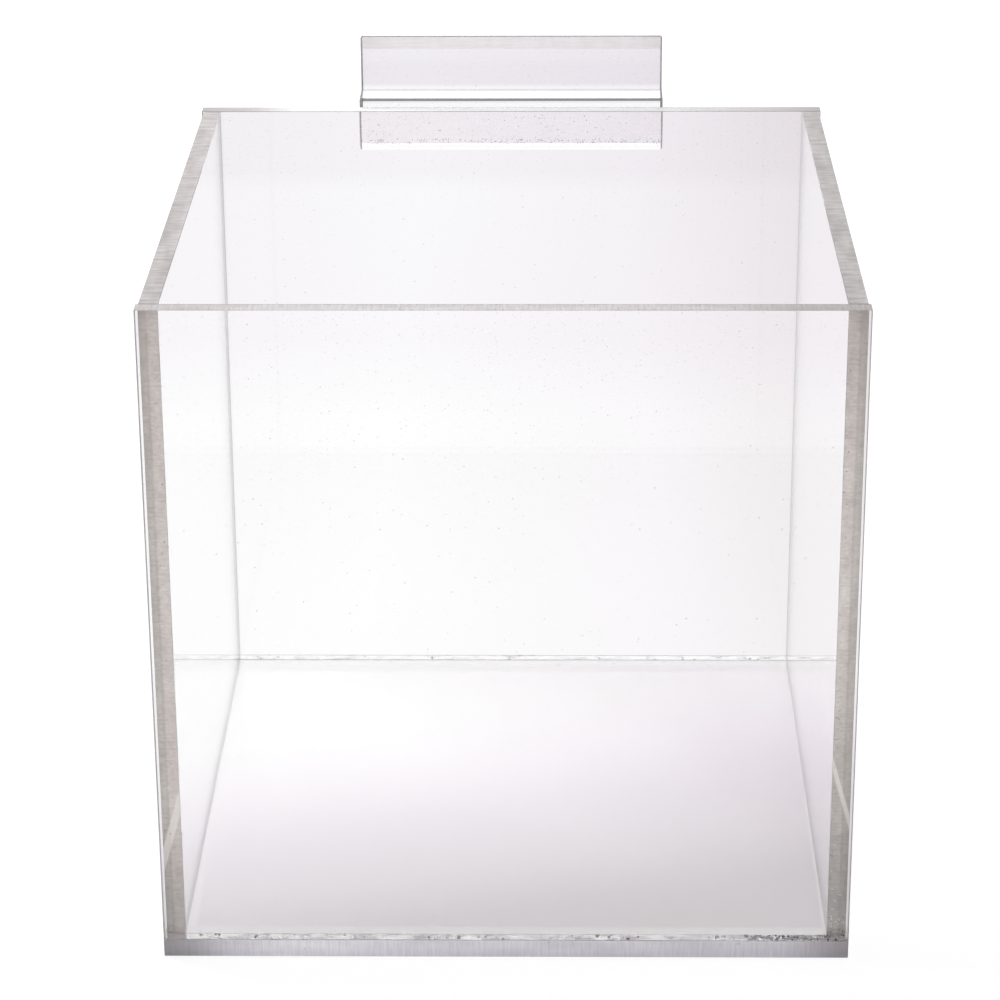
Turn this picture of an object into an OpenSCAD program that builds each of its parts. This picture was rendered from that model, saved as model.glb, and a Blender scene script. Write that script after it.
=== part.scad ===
// Open-topped display bin of clear cast sheet with a cemented hook strip for slatwall.
// Millimetres. Z is up, the front faces -Y, the wall side faces +Y.
// The origin is the middle of the base's underside.
// Five flat panels are butt-jointed: the walls stand on the base, and the sides sit between front and back.
// A thin film of cured cement fills each joint and carries one piece on the next.

/* [Bin] */
// Outside width, across the front
bin_w = 152.4; // [110:0.2:300]
// Outside depth, from the front face to the back face
bin_d = 152.4; // [60:0.2:300]
// Height from the underside to the rim
bin_h = 152.4; // [60:0.2:300]

/* [Sheet] */
// Thickness of the front, back and side panels
wall_t = 4.2; // [2:0.1:8]
// Thickness of the base panel
base_t = 4.2; // [2:0.1:10]
// Thickness of the cured cement in each joint
cement_t = 0.15; // [0.05:0.05:0.5]
// How far each side panel is set in from the ends of the front, back and base
side_inset = 0.5; // [0:0.1:3]

/* [Slatwall cleat] */
// Length of the strip along the wall
cleat_len = 75; // [30:1:105]
// Thickness of the strip's leg, web and tongue
cleat_t = 3; // [2:0.1:4]
// Clear gap between leg and tongue, for the lip of the slat
lip_gap = 6.8; // [5:0.1:12]
// Height of the tongue above the web
tongue_h = 13.1; // [8:0.1:18]
// Height of the leg, from its lower edge to the top of the web
leg_h = 13.2; // [11:0.1:30]
// How far the top of the web stands above the rim
cleat_rise = 2.1; // [1.8:0.1:4]

/* [Cleat edges] */
// Radius of the two outside bends of the strip
bend_r = 1; // [0.4:0.1:1.6]
// Radius of the two inside corners of the strip
root_r = 1.2; // [0.4:0.1:2]
// Height of the bevel on the back of the tongue's tip
tip_bevel_h = 3.6; // [1:0.1:5]
// Height of the bevel on the front of the leg's lower edge
foot_bevel_h = 2.1; // [1:0.1:4]
// Thickness left at both bevelled edges
edge_t = 1.2; // [0.8:0.1:1.8]

/* [Hidden] */
$fn = 64;

SHEET_COLOUR = [0.84, 0.88, 0.90, 0.35];
CLEAT_COLOUR = [0.80, 0.85, 0.89, 0.45];
CEMENT_COLOUR = [0.72, 0.68, 0.66, 0.80];

// The walls start on top of the cement that lies on the base
wall_z = base_t + cement_t;
wall_h = bin_h - wall_z;
// The sides end on the cement at the front and back panels
side_len = bin_d - 2 * (wall_t + cement_t);
// Middle of a side panel, measured sideways from the bin's middle
side_x = (bin_w - wall_t) / 2 - side_inset;
// Middles of the front and back panels, and of the cement at their inner faces
panel_y = (bin_d - wall_t) / 2;
corner_y = bin_d / 2 - wall_t - cement_t / 2;
// Height of the corner cement, which runs down to the base
corner_h = bin_h - base_t;
// The leg stands off the back panel by its cement
leg_y = bin_d / 2 + cement_t;
leg_z = bin_h + cleat_rise - leg_h;
// The leg's flat face is cemented from its bevel up to the rim
cleat_bond_h = leg_h - cleat_rise - foot_bevel_h;
// Front face of the tongue and top of its tip, measured from the leg's front lower corner
tongue_y = cleat_t + lip_gap;
tip_z = leg_h + tongue_h;

// A block centred on a point in plan, standing on a height
module block(size, x, y, z) {
    translate([x - size[0] / 2, y - size[1] / 2, z])
        cube(size);
}

// A slice of the space between a square corner at the origin and an arc that touches both its sides
module corner_slice(r) {
    difference() {
        square(r);
        translate([r, r])
            circle(r);
    }
}

// The strip's section: leg below, web across, tongue above, the same when turned half round
module cleat_section() {
    difference() {
        union() {
            polygon([
                [cleat_t - edge_t, 0],
                [cleat_t, 0],
                [cleat_t, leg_h - cleat_t],
                [tongue_y + cleat_t, leg_h - cleat_t],
                [tongue_y + cleat_t, tip_z - tip_bevel_h],
                [tongue_y + edge_t, tip_z],
                [tongue_y, tip_z],
                [tongue_y, leg_h],
                [0, leg_h],
                [0, foot_bevel_h]
            ]);
            translate([tongue_y, leg_h])
                mirror([1, 0])
                    corner_slice(root_r);
            translate([cleat_t, leg_h - cleat_t])
                mirror([0, 1])
                    corner_slice(root_r);
        }
        translate([0, leg_h])
            mirror([0, 1])
                corner_slice(bend_r);
        translate([tongue_y + cleat_t, leg_h - cleat_t])
            mirror([1, 0])
                corner_slice(bend_r);
    }
}

// Base sheet, as wide and deep as the bin
module base_panel() {
    color(SHEET_COLOUR)
        block([bin_w, bin_d, base_t], 0, 0, 0);
}

// Front wall, the full width of the bin
module front_panel() {
    color(SHEET_COLOUR)
        block([bin_w, wall_t, wall_h], 0, -panel_y, wall_z);
}

// Back wall, the full width of the bin
module back_panel() {
    color(SHEET_COLOUR)
        block([bin_w, wall_t, wall_h], 0, panel_y, wall_z);
}

// Left wall, between front and back
module left_side_panel() {
    color(SHEET_COLOUR)
        block([wall_t, side_len, wall_h], -side_x, 0, wall_z);
}

// Right wall, between front and back
module right_side_panel() {
    color(SHEET_COLOUR)
        block([wall_t, side_len, wall_h], side_x, 0, wall_z);
}

// Hook strip whose tongue goes up behind the lip of a slat
module slatwall_cleat() {
    color(CLEAT_COLOUR)
        translate([-cleat_len / 2, leg_y, leg_z])
            rotate([90, 0, 90])
                linear_extrude(height = cleat_len)
                    cleat_section();
}

// Cement under the front wall
module cement_front_base() {
    color(CEMENT_COLOUR)
        block([bin_w, wall_t, cement_t], 0, -panel_y, base_t);
}

// Cement under the back wall
module cement_back_base() {
    color(CEMENT_COLOUR)
        block([bin_w, wall_t, cement_t], 0, panel_y, base_t);
}

// Cement under the left wall
module cement_left_base() {
    color(CEMENT_COLOUR)
        block([wall_t, side_len, cement_t], -side_x, 0, base_t);
}

// Cement under the right wall
module cement_right_base() {
    color(CEMENT_COLOUR)
        block([wall_t, side_len, cement_t], side_x, 0, base_t);
}

// Cement between the left wall's front edge and the front wall
module cement_left_front() {
    color(CEMENT_COLOUR)
        block([wall_t, cement_t, corner_h], -side_x, -corner_y, base_t);
}

// Cement between the right wall's front edge and the front wall
module cement_right_front() {
    color(CEMENT_COLOUR)
        block([wall_t, cement_t, corner_h], side_x, -corner_y, base_t);
}

// Cement between the left wall's back edge and the back wall
module cement_left_back() {
    color(CEMENT_COLOUR)
        block([wall_t, cement_t, corner_h], -side_x, corner_y, base_t);
}

// Cement between the right wall's back edge and the back wall
module cement_right_back() {
    color(CEMENT_COLOUR)
        block([wall_t, cement_t, corner_h], side_x, corner_y, base_t);
}

// Cement between the leg of the hook strip and the back wall
module cement_cleat_back() {
    color(CEMENT_COLOUR)
        block([cleat_len, cement_t, cleat_bond_h], 0, leg_y - cement_t / 2, bin_h - cleat_bond_h);
}

base_panel();
front_panel();
back_panel();
left_side_panel();
right_side_panel();
slatwall_cleat();
cement_front_base();
cement_back_base();
cement_left_base();
cement_right_base();
cement_left_front();
cement_right_front();
cement_left_back();
cement_right_back();
cement_cleat_back();
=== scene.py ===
# %% [markdown]
# # A clear display bin for slatwall
# The real bin is five pieces of clear cast acrylic sheet, cut on a saw and joined edge to face with a thin
# cement, and a clear hook strip cemented to the back. It has no colour of its own, so nearly all that the
# eye sees is at its edges: frosted saw cuts, grey joints with air bubbles in them, and light bent by the
# thickness of the sheet. That is why this scene builds real thick sheets with separate edge finishes, and
# not thin see-through planes.

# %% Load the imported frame
import math

import bmesh
import bpy
from mathutils import Euler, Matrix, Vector


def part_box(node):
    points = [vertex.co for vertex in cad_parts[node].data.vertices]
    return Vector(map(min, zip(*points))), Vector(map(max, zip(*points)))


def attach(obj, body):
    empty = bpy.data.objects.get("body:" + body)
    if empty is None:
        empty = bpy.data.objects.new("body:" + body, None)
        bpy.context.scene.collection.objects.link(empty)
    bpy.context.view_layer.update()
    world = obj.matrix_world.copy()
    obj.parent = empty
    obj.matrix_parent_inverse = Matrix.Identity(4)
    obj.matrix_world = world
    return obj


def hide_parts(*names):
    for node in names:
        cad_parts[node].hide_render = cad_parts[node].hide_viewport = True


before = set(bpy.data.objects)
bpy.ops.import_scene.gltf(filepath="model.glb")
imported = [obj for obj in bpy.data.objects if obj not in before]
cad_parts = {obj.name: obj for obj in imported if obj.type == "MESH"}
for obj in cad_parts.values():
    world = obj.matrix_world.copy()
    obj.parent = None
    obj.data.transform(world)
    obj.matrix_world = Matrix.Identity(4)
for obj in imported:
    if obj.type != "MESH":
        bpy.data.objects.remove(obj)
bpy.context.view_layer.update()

MM = 0.001
print("nodes:", sorted(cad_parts))

# %% [markdown]
# ## Camera
# The photograph looks slightly down into the bin with a long lens, almost square to the front panel. The
# numbers below come from fitting a pinhole camera to the corners of the bin. The small turn and roll only
# set the framing.

# %% Camera
AZIMUTH, ELEVATION, DISTANCE = 0.791, 22.609, 0.800
LENS_MM = 122.47
TURN_RIGHT, TURN_UP, ROLL = -0.143, 0.169, -0.248

camera = bpy.data.objects.new("camera", bpy.data.cameras.new("camera"))
bpy.context.scene.collection.objects.link(camera)
camera.data.lens, camera.data.sensor_width = LENS_MM, 36.0
rim_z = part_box("front_panel")[1].z
azimuth, elevation = math.radians(AZIMUTH), math.radians(ELEVATION)
toward_camera = Vector((
    math.sin(azimuth) * math.cos(elevation),
    -math.cos(azimuth) * math.cos(elevation),
    math.sin(elevation),
))
camera.location = Vector((0, 0, rim_z / 2)) + toward_camera * DISTANCE
aim = (-toward_camera).to_track_quat("-Z", "Y")
small_turn = Euler((math.radians(TURN_UP), math.radians(-TURN_RIGHT), math.radians(ROLL))).to_quaternion()
camera.rotation_mode = "QUATERNION"
camera.rotation_quaternion = aim @ small_turn
bpy.context.scene.camera = camera
print("camera at", [round(v, 3) for v in camera.location], "lens", LENS_MM, "mm")

# %% [markdown]
# ## Helpers for the finishes
# Colours are written as the sRGB hex values one would read off a picture, and one function turns them into
# the linear values that Blender works in. A second function adds a node with its settings and links, so
# that each finish below reads as a short list of nodes. Most of these finishes are one colour dimmed by
# something, by specks, by the distance from an edge or by the place along it, so a third function does
# that.

# %% Colour and node helpers
def linear(hex_colour):
    """Linear RGBA of an sRGB hex colour."""
    srgb = [int(hex_colour[i:i + 2], 16) / 255 for i in (1, 3, 5)]
    return (*[c / 12.92 if c <= 0.04045 else ((c + 0.055) / 1.055) ** 2.4 for c in srgb], 1.0)


def add(tree, kind, inputs=None, stops=(), **settings):
    """Adds a node with its settings. An input is a value or another node's output, which is linked.

    Stops fill a colour ramp.
    """
    node = tree.nodes.new(kind)
    for name, value in settings.items():
        setattr(node, name, value)
    for socket, value in (inputs or {}).items():
        if isinstance(value, bpy.types.NodeSocket):
            tree.links.new(value, node.inputs[socket])
        else:
            node.inputs[socket].default_value = value
    for i, (place, colour) in enumerate(stops):
        elements = node.color_ramp.elements
        element = elements[i] if i < 2 else elements.new(place)
        element.position, element.color = place, linear(colour)
    return node


def dimmed(tree, colour, value, stops, unit=1.0):
    """A colour times a shade that follows a value. Each stop is a place, in the unit, and a hex colour."""
    low, high = stops[0][0], stops[-1][0]
    part = add(tree, "ShaderNodeMapRange", {"Value": value, "From Min": low * unit, "From Max": high * unit})
    shade = add(tree, "ShaderNodeValToRGB", {"Fac": part.outputs[0]},
                [((place - low) / (high - low), tone) for place, tone in stops])
    return add(tree, "ShaderNodeMix", {0: 1.0, 6: colour, 7: shade.outputs["Color"]},
               data_type="RGBA", blend_type="MULTIPLY").outputs[2]


def blank_material(name):
    """A named material with an empty node tree and its output node."""
    material = bpy.data.materials.new(name)
    material.use_nodes = True
    material.node_tree.nodes.clear()
    return material, material.node_tree, add(material.node_tree, "ShaderNodeOutputMaterial")


print("linear of #808080:", round(linear("#808080")[0], 4))

# %% [markdown]
# ## Polished face of cast acrylic
# Cast acrylic sheet comes from the mould with a glass-smooth face. It bends light with an index of 1.49, a
# little less than window glass, and has almost no tint. What gives it away up close is a very slight
# waviness and the dust that its static charge holds: a few larger specks all over, and fine dust near the
# rim, where the bin is handled. Each speck is the middle of a Voronoi cell, drawn for some of the cells
# only and in different sizes. The cells lie flat on each face, in a UV map in millimetres that the sheets,
# the strip and the films carry. The base is rubbed dull in use, by the goods on it and the shelf under it,
# so its two faces mirror the walls only as a blur.

# %% Polished cast acrylic
ACRYLIC_IOR = 1.49
# Spacing and largest radius in mm, and the share of cells with a speck. Real dust is about 0.05 mm and
# wouldn't show.
LARGE_SPECKS = (5.0, 0.26, 0.4)
FINE_DUST = (1.7, 0.3, 0.6)
DUST_FROM_MM, DUST_FULL_MM = 80.0, 140.0
# Part of a speck's radius over which it fades out
SPECK_FADE = 0.4
WAVE_MM, WAVE_DEPTH_MM, WAVE_STRENGTH = 35.0, 0.02, 0.25
WORN_DULLNESS = 0.2


def specks(tree, spacing_mm, radius_mm, share):
    """Dots of different sizes on some cells of a flat pattern, 0 outside and 1 inside."""
    place = add(tree, "ShaderNodeUVMap", uv_map="edge_mm").outputs["UV"]
    cells = add(tree, "ShaderNodeTexVoronoi", {
        "Vector": place, "Scale": 1 / spacing_mm}, voronoi_dimensions="2D")
    lot = add(tree, "ShaderNodeSeparateColor", {"Color": cells.outputs["Color"]})
    size = add(tree, "ShaderNodeMapRange", {
        "Value": lot.outputs[0], "From Min": 1 - share, "To Min": 0.0, "To Max": radius_mm / spacing_mm})
    depth = add(tree, "ShaderNodeMath", {
        0: size.outputs[0], 1: cells.outputs["Distance"]}, operation="SUBTRACT")
    return add(tree, "ShaderNodeMapRange", {
        "Value": depth.outputs[0], "From Min": 0.0,
        "From Max": SPECK_FADE * radius_mm / spacing_mm}).outputs[0]


def polished_acrylic(name, clear, speck, dullness=0.0):
    """A clear, wavy face with specks of dust. A dull one has been rubbed in use."""
    material, tree, out = blank_material(name)
    place = add(tree, "ShaderNodeTexCoord").outputs["Object"]
    height = add(tree, "ShaderNodeSeparateXYZ", {"Vector": place}).outputs["Z"]
    handled = add(tree, "ShaderNodeMapRange", {
        "Value": height, "From Min": DUST_FROM_MM * MM, "From Max": DUST_FULL_MM * MM})
    dust = add(tree, "ShaderNodeMath", {
        0: specks(tree, *FINE_DUST), 1: handled.outputs[0]}, operation="MULTIPLY")
    tint = dimmed(tree, linear(clear), specks(tree, *LARGE_SPECKS), [(0, "#FFFFFF"), (1, speck)])
    tint = dimmed(tree, tint, dust.outputs[0], [(0, "#FFFFFF"), (1, "#F2F0F1")])
    wave = add(tree, "ShaderNodeTexNoise", {"Vector": place, "Scale": 1 / (WAVE_MM * MM), "Detail": 1.0})
    bump = add(tree, "ShaderNodeBump", {
        "Height": wave.outputs["Fac"], "Strength": WAVE_STRENGTH, "Distance": WAVE_DEPTH_MM * MM})
    shader = add(tree, "ShaderNodeBsdfPrincipled", {
        "Base Color": tint, "Roughness": dullness, "IOR": ACRYLIC_IOR, "Transmission Weight": 1.0,
        "Normal": bump.outputs["Normal"]})
    tree.links.new(shader.outputs[0], out.inputs["Surface"])
    return material


# Clear as glass: sharp reflections, the floor behind it almost unchanged, and here and there a grey speck.
cast_face = polished_acrylic("cast_acrylic_polished_face", "#FFFFFF", "#D2CFD0")
# Rubbed dull by the goods above and the shelf below: clear against the floor, but without mirror lines.
worn_face = polished_acrylic("cast_acrylic_worn_face", "#FFFFFF", "#D2CFD0", WORN_DULLNESS)
print("made", cast_face.name, worn_face.name)

# %% [markdown]
# ## Saw-cut edge
# The sheet is cut on a table saw and the edge is left as it comes: a frosted, faintly warm grey with fine
# marks across the thickness, one for each bite of the blade, and a few small chips. The marks have to run
# across every edge, whichever way it lies, so the UV map has U along the edge and V across it, measured
# from the middle of the sheet. The frosted colour is dimmed where the photograph shows it:
# - Light that runs inside a sheet comes out along the middle of a long edge more than near the corners of
#   the bin, so the long edges that lie across the picture are darker towards their ends.
# - At the arris, the sharp corner of a cut, the front and rear rims have a line of painted shade.
# - The base's edge gets less light near the floor.

# %% Saw-cut edge
# Real saw marks are about 0.3 mm apart. They are drawn twice as coarse so that they show in the picture,
# and coarser still on the edges that run away from the camera.
MARK_MM, FAR_MARK_MM = 0.6, 1.7
MARK_DEPTH_MM, MARK_STRENGTH = 0.06, 0.5
CUT_SMOOTHEST, CUT_ROUGHEST = 0.4, 0.6
DRIFT_MM, DRIFT_SHARE = 14.0, 0.35
# How fast marks and drift change across the thickness, per mm
MARK_ACROSS, DRIFT_ACROSS = 0.12, 0.3
# A noise seldom leaves the middle of its range, so the three tones lie close together there
TONE_PLACES = (0.37, 0.5, 0.63)
CHIPS = (6.0, 0.3, 0.35)
SHEET_T_MM = 4.2
# Width in mm of the painted shade line along the arris
ARRIS_MM = 0.35


def cut_marks(tree, seed, mark_mm=MARK_MM):
    """Fine marks across an edge and a slow drift along it, both 0 to 1, from the UV map in millimetres."""
    place = add(tree, "ShaderNodeUVMap", uv_map="edge_mm").outputs["UV"]
    fine = add(tree, "ShaderNodeMapping", {
        "Vector": place, "Scale": (1 / mark_mm, MARK_ACROSS, 1.0), "Location": (seed, seed, 0.0)})
    slow = add(tree, "ShaderNodeMapping", {
        "Vector": place, "Scale": (1 / DRIFT_MM, DRIFT_ACROSS, 1.0), "Location": (seed * 2, seed, 0.0)})
    marks = add(tree, "ShaderNodeTexNoise", {
        "Vector": fine.outputs[0], "Scale": 1.0, "Detail": 3.0, "Roughness": 0.6})
    drift = add(tree, "ShaderNodeTexNoise", {"Vector": slow.outputs[0], "Scale": 1.0, "Detail": 2.0})
    return marks.outputs["Fac"], drift.outputs["Fac"]


def arris_shade_lines(front, back):
    """Stops over the thickness of a cut that paint a line of shade along its front and its back corner."""
    half = SHEET_T_MM / 2
    return [(ARRIS_MM - half, front), (2 * ARRIS_MM - half, "#FFFFFF"), (half - 2 * ARRIS_MM, "#FFFFFF"),
            (half - ARRIS_MM, back)]


def saw_cut(name, tones, see_through, seed, ends=(), across=(), mark_mm=MARK_MM):
    """A frosted edge of dark, middle and light tones. Stops in mm paint shade along X and across its
    thickness.
    """
    material, tree, out = blank_material(name)
    marks, drift = cut_marks(tree, seed, mark_mm)
    blend = add(tree, "ShaderNodeMix", {0: DRIFT_SHARE, 2: marks, 3: drift}, data_type="FLOAT")
    frosted = add(tree, "ShaderNodeValToRGB", {"Fac": blend.outputs[0]}, list(zip(TONE_PLACES, tones)))
    colour = dimmed(tree, frosted.outputs["Color"], specks(tree, *CHIPS), [(0, "#FFFFFF"), (1, "#C8C4C3")])
    if ends:
        place = add(tree, "ShaderNodeTexCoord").outputs["Object"]
        x = add(tree, "ShaderNodeSeparateXYZ", {"Vector": place}).outputs["X"]
        colour = dimmed(tree, colour, x, ends, MM)
    if across:
        place = add(tree, "ShaderNodeUVMap", uv_map="edge_mm").outputs["UV"]
        v = add(tree, "ShaderNodeSeparateXYZ", {"Vector": place}).outputs["Y"]
        colour = dimmed(tree, colour, v, across)
    rough = add(tree, "ShaderNodeMapRange", {
        "Value": marks, "To Min": CUT_SMOOTHEST, "To Max": CUT_ROUGHEST})
    bump = add(tree, "ShaderNodeBump", {
        "Height": marks, "Strength": MARK_STRENGTH, "Distance": MARK_DEPTH_MM * MM})
    shader = add(tree, "ShaderNodeBsdfPrincipled", {
        "Base Color": colour, "Roughness": rough.outputs[0], "IOR": ACRYLIC_IOR,
        "Transmission Weight": see_through, "Normal": bump.outputs["Normal"]})
    tree.links.new(shader.outputs[0], out.inputs["Surface"])
    return material


print("saw marks every", MARK_MM, "mm, drawn", FAR_MARK_MM, "mm apart where they run away from the camera")

# %% [markdown]
# ## The cut edges of each sheet
# The same saw made every cut, but each lies differently to the light. The base's edge faces the camera, the
# front's rim is lit from inside its sheet and the rear rim faces the bright room, so each has its own
# tones, ends and arris.

# %% Cut edges of the sheets
# A dull, faintly warm mid grey with fine marks: the short ends of the base and the back.
CUT_TONES = ("#B7B0AE", "#CEC8C6", "#E4DFDE")
FROSTED = 0.15
cut_edge = saw_cut("cast_acrylic_saw_cut_edge", CUT_TONES, FROSTED, 3.0)
# The same grey with coarser marks: the rims of the two sides.
side_edge = saw_cut("cast_acrylic_saw_cut_side_rim", CUT_TONES, FROSTED, 3.0, mark_mm=FAR_MARK_MM)
# Frosted but thin, so that light comes in from beside the bin: the two upright ends of the front sheet,
# which the picture shows as thin grey lines. Their pale tones are painted light, and the right one has
# painted shade.
front_end = saw_cut("cast_acrylic_saw_cut_front_end", ("#E6E2E2", "#F2EFEF", "#FCFAFA"), 0.6, 6.0, [
    (-76, "#FFFFFF"), (76, "#D0CCCC")])
# Paler than the sides, with painted light from inside the front sheet, painted shade towards both ends,
# most at the right end, and a faint line of painted shade along both corners.
front_edge = saw_cut("cast_acrylic_saw_cut_front_rim", ("#D3CFCF", "#E7E3E3", "#F7F4F4"), FROSTED, 4.0, [
    (-76, "#ECE9E8"), (-62, "#F1EFEE"), (-50, "#FFFFFF"), (20, "#FFFFFF"), (45, "#F7F4F4"), (62, "#DCD8D7"),
    (76, "#D8D4D3")], arris_shade_lines("#E6E3E2", "#E6E3E2"))
# A pale, cool band under the front panel: painted light from the floor through the sheet, painted shade
# at both ends and a little painted shade towards the floor.
base_edge = saw_cut("cast_acrylic_saw_cut_base_edge", ("#E6E4E8", "#F3F1F5", "#FFFDFF"), FROSTED, 5.0, [
    (-76, "#9A9899"), (-70, "#B1AFB1"), (-62, "#E1E0E3"), (-50, "#FDFDFD"), (-30, "#F4F3F5"), (20, "#E6E5E8"),
    (62, "#DEDCDF"), (70, "#B6B3B5"), (76, "#9C9899")],
    [(-2.1, "#F0EFF1"), (-1.0, "#F3F2F4"), (0.4, "#FDFDFD"), (2.1, "#FFFFFF")])
# Painted light from behind makes it almost white between its ends, which have painted shade, and a thin
# line of painted shade runs along its front.
rear_edge = saw_cut("cast_acrylic_saw_cut_rear_rim", ("#F4F2F3", "#FBFAFB", "#FFFFFF"), 0.0, 9.0, [
    (-76, "#B9B4B4"), (-64, "#CCC7C7"), (-52, "#FFFFFF"), (40, "#FFFFFF"), (62, "#DBD6D6"), (76, "#BCB7B7")],
    arris_shade_lines("#8E8A8A", "#FFFFFF"))
print("made", [m.name for m in (cut_edge, side_edge, front_end, front_edge, base_edge, rear_edge)])

# %% [markdown]
# ## Cemented edge
# Solvent cement softens both faces of a joint and fills it. A cut edge that has been wetted no longer bends
# or mirrors light: one looks straight through it at the cement. So a cemented edge of a sheet gets a plain
# see-through face, and what shows is the film behind it. Where the cement didn't reach, the edge stays a
# mirror from inside and looks bright: the front's lower edge is dry in patches, and the back's is dry for
# the most part. A noise decides between the two.

# %% Cemented edges
WET_PATCH_MM = 3.0


def part_wetted(name, dry_from, dry_to):
    """A partly cemented edge. As a noise rises from dry_from to dry_to, it passes from wetted to dry."""
    material, tree, out = blank_material(name)
    place = add(tree, "ShaderNodeTexCoord").outputs["Object"]
    patches = add(tree, "ShaderNodeTexNoise", {
        "Vector": place, "Scale": 1 / (WET_PATCH_MM * MM), "Detail": 4.0})
    dry = add(tree, "ShaderNodeMapRange", {
        "Value": patches.outputs["Fac"], "From Min": dry_from, "From Max": dry_to})
    shader = add(tree, "ShaderNodeBsdfPrincipled", {
        "Base Color": (1, 1, 1, 1), "Roughness": 0.0, "IOR": ACRYLIC_IOR, "Transmission Weight": 1.0,
        "Alpha": dry.outputs[0]})
    tree.links.new(shader.outputs[0], out.inputs["Surface"])
    return material


# Nothing to see by itself: the cement has filled every scratch of the cut, and its film shows through.
wetted_edge, tree, out = blank_material("cast_acrylic_cemented_edge")
clear_way = add(tree, "ShaderNodeBsdfTransparent", {"Color": (1, 1, 1, 1)})
tree.links.new(clear_way.outputs[0], out.inputs["Surface"])
# Wet, with bright dry patches.
front_foot = part_wetted("cast_acrylic_cemented_front_foot", 0.42, 0.78)
# Dry, so that a bright band runs along the foot of the back panel.
rear_foot = part_wetted("cast_acrylic_cemented_rear_foot", 0.1, 0.5)
print("made", [m.name for m in (wetted_edge, front_foot, rear_foot)])

# %% [markdown]
# ## Cured cement
# A film of cement keeps something of the faces that it lies between, and of the way it ran. One recipe
# serves all the joints: the saw's marks, a mottle where the cement ran unevenly and a grain that lies level
# are blended into one value, which runs through a dark, a middle and a light tone. The front corners show
# best and get painted shade of their own.

# %% Cured cement
MOTTLE_MM = 3.0
FILM_DEPTH_MM, FILM_STRENGTH = 0.05, 0.4
GRAIN_MM, GRAIN_SHARE = (1.2, 1.2, 0.5), 0.3
# The dry streak: where it starts and ends at the inner side of a corner, and how steeply it falls to the
# outside
CORNER_IN_MM, STREAK_SLOPE = 71.5, 3.5
LEFT_STREAK_MM, RIGHT_STREAK_MM = (34.0, 41.0), (45.0, 49.0)


def front_corner(tree, colour):
    """A front corner's cement with painted shade, a dark foot, darker on the right, and a dimmer head, and a
    lighter streak slanting down to the outside.
    """
    place = add(tree, "ShaderNodeUVMap", uv_map="edge_mm").outputs["UV"]
    uv = add(tree, "ShaderNodeSeparateXYZ", {"Vector": place})
    up = uv.outputs["X"]
    # Painted shade up the corner: dark at the foot, a little dimmer at the head
    colour = dimmed(tree, colour, up, [
        (4.5, "#D2D3D3"), (12, "#CBCBCA"), (21, "#E0DEDD"), (36, "#F8F7F6"), (91, "#FFFFFF"),
        (129, "#F6F4F3"), (152, "#EAE7E6")])
    # More painted shade for the right corner, most of it low down
    darker = dimmed(tree, colour, up, [
        (5, "#F0F0EF"), (19, "#DDDDDC"), (45, "#E6E6E5"), (64, "#F7F7F6"), (85, "#FFFFFF"), (123, "#FFFFFF"),
        (140, "#F2F2F1")])
    right = add(tree, "ShaderNodeMath", {0: uv.outputs["Y"], 1: 0.0}, operation="GREATER_THAN").outputs[0]
    colour = add(tree, "ShaderNodeMix", {0: right, 6: colour, 7: darker}, data_type="RGBA").outputs[2]
    side = add(tree, "ShaderNodeMath", {0: uv.outputs["Y"]}, operation="ABSOLUTE").outputs[0]
    colour = dimmed(tree, colour, side, [
        (73.8, "#FFFFFF"), (74.0, "#EDECEA"), (74.3, "#EDECEA"), (74.6, "#F4F6F4"), (75.7, "#F4F6F4")])
    slant = add(tree, "ShaderNodeMath", {0: side, 1: STREAK_SLOPE, 2: -STREAK_SLOPE * CORNER_IN_MM},
                operation="MULTIPLY_ADD").outputs[0]
    level = add(tree, "ShaderNodeMath", {0: slant, 1: up}, operation="ADD").outputs[0]
    low, high = [
        add(tree, "ShaderNodeMix", {0: right, 2: on_left, 3: on_right}, data_type="FLOAT").outputs[0]
        for on_left, on_right in zip(LEFT_STREAK_MM, RIGHT_STREAK_MM)]
    inside = add(tree, "ShaderNodeMapRange", {"Value": level, "From Min": low, "From Max": high}).outputs[0]
    streak = add(tree, "ShaderNodeValToRGB", {"Fac": inside}, [
        (0.0, "#000000"), (0.1, "#C8C8C8"), (0.85, "#DCDCDC"), (1.0, "#000000")]).outputs["Color"]
    return add(tree, "ShaderNodeMix", {
        0: streak, 6: colour, 7: linear("#DFDAD6")}, data_type="RGBA").outputs[2]


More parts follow.
